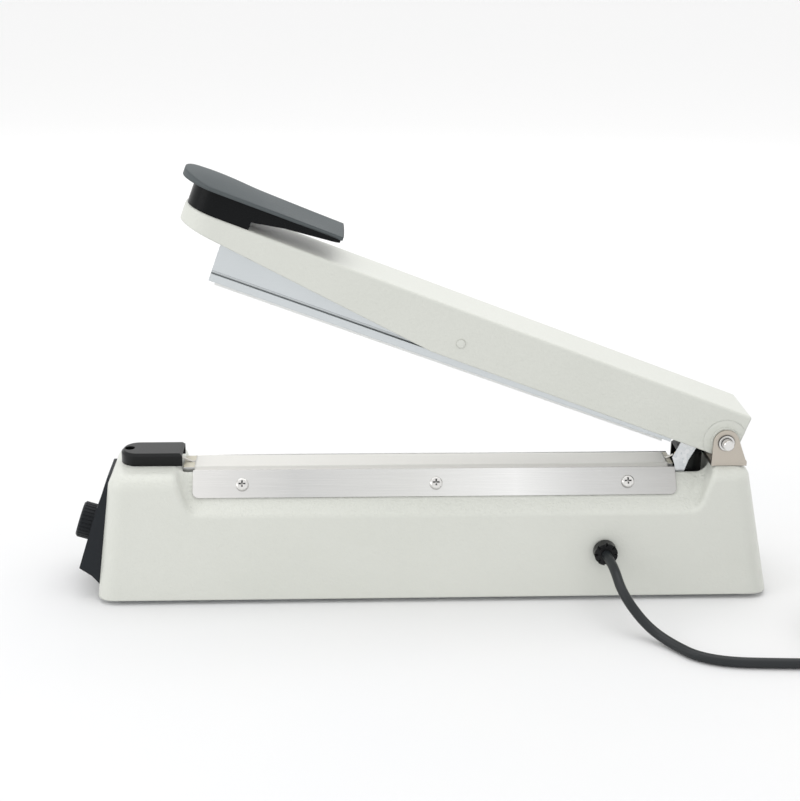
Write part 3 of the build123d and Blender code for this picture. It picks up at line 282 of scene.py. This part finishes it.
def plateFinish(name):
    # brushed stainless; the broad lighter and darker fields along the strip are a painted reflection of the
    # surroundings
    paint = Paint(name, Metallic=1.0, Roughness=0.24)
    lines = paint.grain(1.0, 4.0, 0.65, paint.stretched(30, 2600, 2600))
    along = paint.node("ShaderNodeSeparateXYZ", {}, {0: paint.place}, 0)
    place = paint.level(along, 0.0, 1.0, -0.145, 0.165)
    # painted reflection: lighter and darker bands laid along the strip in the base colour
    paintedReflection = paint.ramp(
        place, (0.0, shade(0.90, 0.89, 0.87)), (0.22, shade(0.70, 0.70, 0.69)),
        (0.45, shade(0.80, 0.80, 0.78)), (0.66, shade(0.98, 0.98, 0.97)),
        (0.8, shade(0.74, 0.74, 0.73)), (1.0, shade(0.58, 0.575, 0.56)))
    streaks = paint.blend(lines, shade(0.86, 0.86, 0.86), shade(1.0, 1.0, 1.0))
    paint.feed("Base Color", paint.node(
        "ShaderNodeMix", {"data_type": "RGBA", "blend_type": "MULTIPLY"}, {0: 1.0, 6: paintedReflection, 7: streaks}, 2))
    paint.feed("Roughness", paint.level(lines, 0.18, 0.32))
    paint.feed("Normal", paint.bump(lines, 0.35, 0.00002, paint.rounded(0.0003)))
    return paint.material


plateSteel = plateFinish("plateSteel")
barAluminium = brushedMetal("barAluminium", (0.71, 0.745, 0.76), 0.36, (25, 1800, 1800))
deckAluminium = brushedMetal("deckAluminium", (0.80, 0.80, 0.80), 0.35, (25, 1800, 1800))
nickelPlate = brushedMetal("nickelPlate", (0.60, 0.55, 0.48), 0.3, (700, 700, 500), 0.00003)
screwSteel = brushedMetal("screwSteel", (0.82, 0.81, 0.79), 0.16, (900, 900, 900), 0.00001)
brassMetal = brushedMetal("brassMetal", (0.80, 0.62, 0.30), 0.28, (600, 600, 600))
springWire = brushedMetal("springWire", (0.30, 0.30, 0.31), 0.32, (900, 900, 900))
ribbonMetal = brushedMetal("ribbonMetal", (0.58, 0.56, 0.52), 0.35, (40, 2000, 2000))


def zincCoat(name):
    # hot-dip zinc with its crystal flakes
    paint = Paint(name, Metallic=1.0, Roughness=0.4)
    flakes = paint.node(
        "ShaderNodeTexVoronoi", {"feature": "F1"}, {"Vector": paint.place, "Scale": 480.0}, "Color")
    gray = paint.node("ShaderNodeRGBToBW", {}, {0: flakes})
    fine = paint.grain(1500.0, 3)
    paint.feed("Base Color", paint.blend(gray, shade(0.62, 0.65, 0.67), shade(0.86, 0.87, 0.88)))
    paint.feed("Roughness", paint.level(gray * 0.7 + fine * 0.3, 0.3, 0.55))
    paint.feed("Normal", paint.bump(gray, 0.2, 0.00003))
    return paint.material


zincFlake = zincCoat("zincFlake")


def plainPlastic(name, tone, roughness, scale=900.0, depth=0.00004):
    paint = Paint(name, Roughness=roughness)
    cloud = paint.grain(60.0, 3)
    paint.feed("Base Color", paint.blend(cloud, shade(*[c * 0.9 for c in tone]), shade(*tone)))
    speck = paint.grain(scale, 2)
    paint.feed("Roughness", paint.level(speck, roughness * 0.85, min(1.0, roughness * 1.15)))
    paint.feed("Normal", paint.bump(speck, 0.4, depth))
    return paint.material


siliconeWhite = plainPlastic("siliconeWhite", (0.93, 0.935, 0.92), 0.55)
naturalNylon = plainPlastic("naturalNylon", (0.78, 0.77, 0.72), 0.45)
boardGreen = plainPlastic("boardGreen", (0.04, 0.18, 0.07), 0.35)
caseDark = plainPlastic("caseDark", (0.03, 0.032, 0.036), 0.4)
lampRed = plainPlastic("lampRed", (0.55, 0.03, 0.02), 0.15)
laminationGray = plainPlastic("laminationGray", (0.16, 0.155, 0.15), 0.5)
windingTape = plainPlastic("windingTape", (0.62, 0.44, 0.10), 0.4)


def wovenCloth(name, tone, pitch):
    paint = Paint(name, Roughness=0.5, Coat_Weight=0.15, Coat_Roughness=0.3)
    warp = paint.node("ShaderNodeTexWave", {"bands_direction": "X"}, {
        "Vector": paint.place, "Scale": 1 / pitch, "Distortion": 0.3, "Detail": 1.0}, 1)
    weft = paint.node("ShaderNodeTexWave", {"bands_direction": "Y"}, {
        "Vector": paint.place, "Scale": 1 / pitch, "Distortion": 0.3, "Detail": 1.0}, 1)
    weave = warp * weft
    paint.feed("Base Color", paint.blend(weave, shade(*[c * 0.9 for c in tone]), shade(*tone)))
    paint.feed("Roughness", paint.level(weave, 0.42, 0.6))
    paint.feed("Normal", paint.bump(weave, 0.3, 0.00005))
    return paint.material


releaseCloth = wovenCloth("releaseCloth", (0.80, 0.79, 0.75), 0.0009)
insulationWeave = wovenCloth("insulationWeave", (0.72, 0.68, 0.55), 0.0008)

finishes = {
    "base_housing": castingEnamel, "front_panel": panelBlack, "indicator_lamp": lampRed,
    "potentiometer": caseDark, "bottom_plate": zincFlake, "rubber_feet": feetRubber,
    "foot_screws": screwSteel, "sealing_deck": deckAluminium, "insulation_tape": insulationWeave,
    "heating_element": ribbonMetal, "release_cloth": releaseCloth, "side_plate_near": plateSteel,
    "side_plate_far": plateSteel, "plate_screws": screwSteel, "front_terminal": brassMetal,
    "rear_terminal": brassMetal, "rear_terminal_insulator": naturalNylon, "terminal_screws": brassMetal,
    "front_terminal_cover": coverBlack, "rear_terminal_cover": coverBlack, "hinge_bracket": nickelPlate,
    "bracket_brace": nickelPlate, "bracket_screws": screwSteel, "hinge_pin": screwSteel,
    "hinge_bushing": screwSteel, "retaining_rings": screwSteel, "return_spring_coil": springWire,
    "micro_switch": caseDark, "switch_hanger": zincFlake, "transformer_core": laminationGray,
    "transformer_bobbin": naturalNylon, "transformer_winding": windingTape, "transformer_strap": zincFlake,
    "transformer_screws": screwSteel, "transformer_pad": naturalNylon, "timer_board": boardGreen,
    "board_standoffs": naturalNylon, "timer_relay": caseDark, "board_capacitors": caseDark,
    "wire_terminal_block": naturalNylon, "cord_strain_relief": coverBlack, "cord_tie": gripBlack,
    "plug_body": coverBlack, "plug_pins": brassMetal, "press_arm": armEnamel, "handle_body": gripBlack,
    "handle_pad": padBlack, "handle_screws": screwSteel, "bar_pivot_pin": armEnamel,
    "pivot_spacers": naturalNylon, "return_spring_leg": springWire, "switch_tongue": zincFlake,
    "pressing_bar": barAluminium, "silicone_strip": siliconeWhite, "timer_knob": knobBlack,
    "timer_shaft": screwSteel, "switch_button": caseDark, "power_cord": cordBlack, "cord_coil": cordBlack}
for name, node in nodes.items():
    node.data.materials.clear()
    node.data.materials.append(finishes[name])
print("finishes given to", len(finishes), "nodes")

# ---- mains cord: the route out of the base, then the stored turns
lead = {
    "diameter": 0.006, "route": [
        (0.1144, -0.04534, 0.033), (0.1162, -0.06064, 0.033), (0.1185, -0.07934, 0.02376),
        (0.1299, -0.09114, 0.0099), (0.1419, -0.10234, 0.0031), (0.1607, -0.12774, 0.0031),
        (0.212, -0.1314, 0.0031), (0.248, -0.1322, 0.0031)],
    "coilCentre": (0.275, -0.097), "outer": 0.037, "inner": 0.031, "pointsPerTurn": 16,
    "rows": (0.0031, 0.0092, 0.0153), "boot": (0.2925, -0.134, 0.008)}


def cordPoints(lead):
    points = list(lead["route"])
    cx, cy = lead["coilCentre"]
    low, mid, high = lead["rows"]
    # each stored turn: radius and height it settles at
    turns = [
        (lead["outer"], low), (lead["inner"], low), (lead["inner"], mid),
        (lead["inner"], high), (lead["outer"], high), (lead["outer"], mid)]
    count = lead["pointsPerTurn"]
    for index, (radius, height) in enumerate(turns):
        nextRadius, nextHeight = turns[index + 1] if index + 1 < len(turns) else (radius, height)
        for step in range(count):
            part = step / count
            slide = max(0.0, (part - 0.75) / 0.25)
            ring = radius + (nextRadius - radius) * slide
            lift = height + (nextHeight - height) * slide
            angle = -math.pi / 2 + 2 * math.pi * part
            points.append((cx + ring * math.cos(angle), cy + ring * math.sin(angle), lift))
    points.append((cx, cy - lead["outer"], mid))
    points.append(lead["boot"])
    return points


def splineCord(name, points, radius, material):
    data = bpy.data.curves.new(name, "CURVE")
    data.dimensions = "3D"
    data.bevel_depth = radius
    data.bevel_resolution = 6
    data.resolution_u = 10
    data.use_fill_caps = True
    spline = data.splines.new("NURBS")
    spline.points.add(len(points) - 1)
    for point, place in zip(spline.points, points):
        point.co = (*place, 1.0)
    spline.order_u = 3
    spline.use_endpoint_u = True
    data.materials.append(material)
    piece = bpy.data.objects.new(name, data)
    bpy.context.scene.collection.objects.link(piece)
    return piece


mainsCord = splineCord("mainsCord", cordPoints(lead), lead["diameter"] / 2, cordBlack)
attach(mainsCord, "base")
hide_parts("power_cord", "cord_coil")
print("cord laid")

# ---- release cloth: a thin coated sheet over the deck, its edges gone under the side plates
sheetShape = {
    "front": -0.1399, "rear": 0.1569, "stations": 240, "thickness": 0.00012,
    "across": [
        (-0.01555, 0.0762), (-0.0138, 0.0779), (-0.0100, 0.0785), (-0.00985, 0.07975), (-0.0085, 0.07985),
        (-0.004, 0.07986), (0.0, 0.07987), (0.004, 0.07986), (0.0085, 0.07985), (0.00985, 0.07975),
        (0.0100, 0.0785), (0.0138, 0.0779), (0.01555, 0.0762)]}


def makeCloth(shape, material):
    mesh = bmesh.new()
    rows = []
    for step in range(shape["stations"] + 1):
        x = shape["front"] + (shape["rear"] - shape["front"]) * step / shape["stations"]
        row = []
        for y, z in shape["across"]:
            ripple = noise.noise(Vector((x * 90, y * 160, 3.1))) * 0.00005
            row.append(mesh.verts.new((x, y, z - 0.00004 + ripple)))
        rows.append(row)
    for first, second in zip(rows, rows[1:]):
        for index in range(len(first) - 1):
            mesh.faces.new((first[index], second[index], second[index + 1], first[index + 1]))
    data = bpy.data.meshes.new("coatedCloth")
    mesh.to_mesh(data)
    mesh.free()
    for face in data.polygons:
        face.use_smooth = True
    data.materials.append(material)
    piece = bpy.data.objects.new("coatedCloth", data)
    bpy.context.scene.collection.objects.link(piece)
    thick = piece.modifiers.new("thick", "SOLIDIFY")
    thick.thickness = shape["thickness"]
    thick.offset = -1
    return piece


coatedCloth = makeCloth(sheetShape, releaseCloth)
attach(coatedCloth, "base")
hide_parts("release_cloth")
print("cloth laid")
